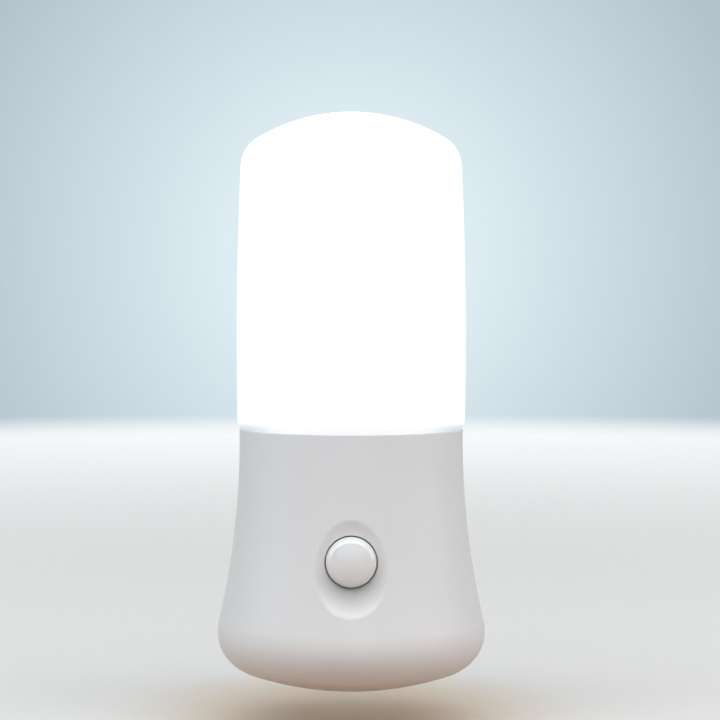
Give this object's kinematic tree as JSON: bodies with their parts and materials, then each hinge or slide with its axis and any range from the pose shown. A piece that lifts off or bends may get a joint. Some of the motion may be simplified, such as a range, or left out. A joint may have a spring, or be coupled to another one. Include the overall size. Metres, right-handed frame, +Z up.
{
  "type": "plug-in night light",
  "caption": "Wall plug night light: flared white base with a dished push button, two flat blades and a milky domed diffuser over an LED board.",
  "frame": {"origin": "on the flat back face that meets the socket plate, midway between the two blades", "axes": "+Y out of the back face, along the blades into the socket; +Z up, along the body; +X to the right seen from the front"},
  "size_m": [0.0388, 0.0509, 0.0834],
  "materials": {
    "housing": "satin white ABS",
    "diffuser": "milky opal, lit from inside",
    "button": "gloss white",
    "blade": "nickel-plated, satin",
    "steel": "zinc-plated",
    "copper": "phosphor bronze",
    "inner_plastic": "natural white",
    "board": "phenolic board",
    "led_board": "white solder mask",
    "led": "phosphor",
    "component_black": "moulded epoxy",
    "capacitor_red": "dipped epoxy",
    "capacitor_sleeve": "shrunk sleeve",
    "resistor_blue": "lacquer",
    "lead_brown": "PVC",
    "lead_blue": "PVC",
    "lead_black": "PVC",
    "lead_red": "PVC"
  },
  "bodies": {
    "housing": {"front_housing": "housing", "rear_cover": "housing", "diffuser": "diffuser", "blade_left": "blade", "blade_right": "blade", "blade_clamp": "inner_plastic", "cover_screws": "steel", "driver_board": "board", "board_screws": "steel", "film_capacitor": "capacitor_red", "filter_capacitor": "capacitor_sleeve", "bridge_rectifier": "component_black", "fuse_resistor": "resistor_blue", "chip_resistors": "component_black", "switch_body": "component_black", "switch_base": "component_black", "switch_spring": "steel", "latch_wire": "steel", "switch_terminals": "steel", "led_bracket": "inner_plastic", "led_board": "led_board", "led_chips": "led", "live_lead": "lead_brown", "neutral_lead": "lead_blue", "led_lead_left": "lead_black", "led_lead_right": "lead_red"},
    "button": {"button_cap": "button", "switch_plunger": "inner_plastic", "contact_bridge": "copper"}
  },
  "joints": [
    {"name": "button_press", "type": "slide", "parent": "housing", "child": "button", "axis": [0, 1, 0], "range_m": [0, 0.002], "stiffness_N_per_m": 600, "springref_m": -0.001, "deforming": ["switch_spring"]}
  ]
}
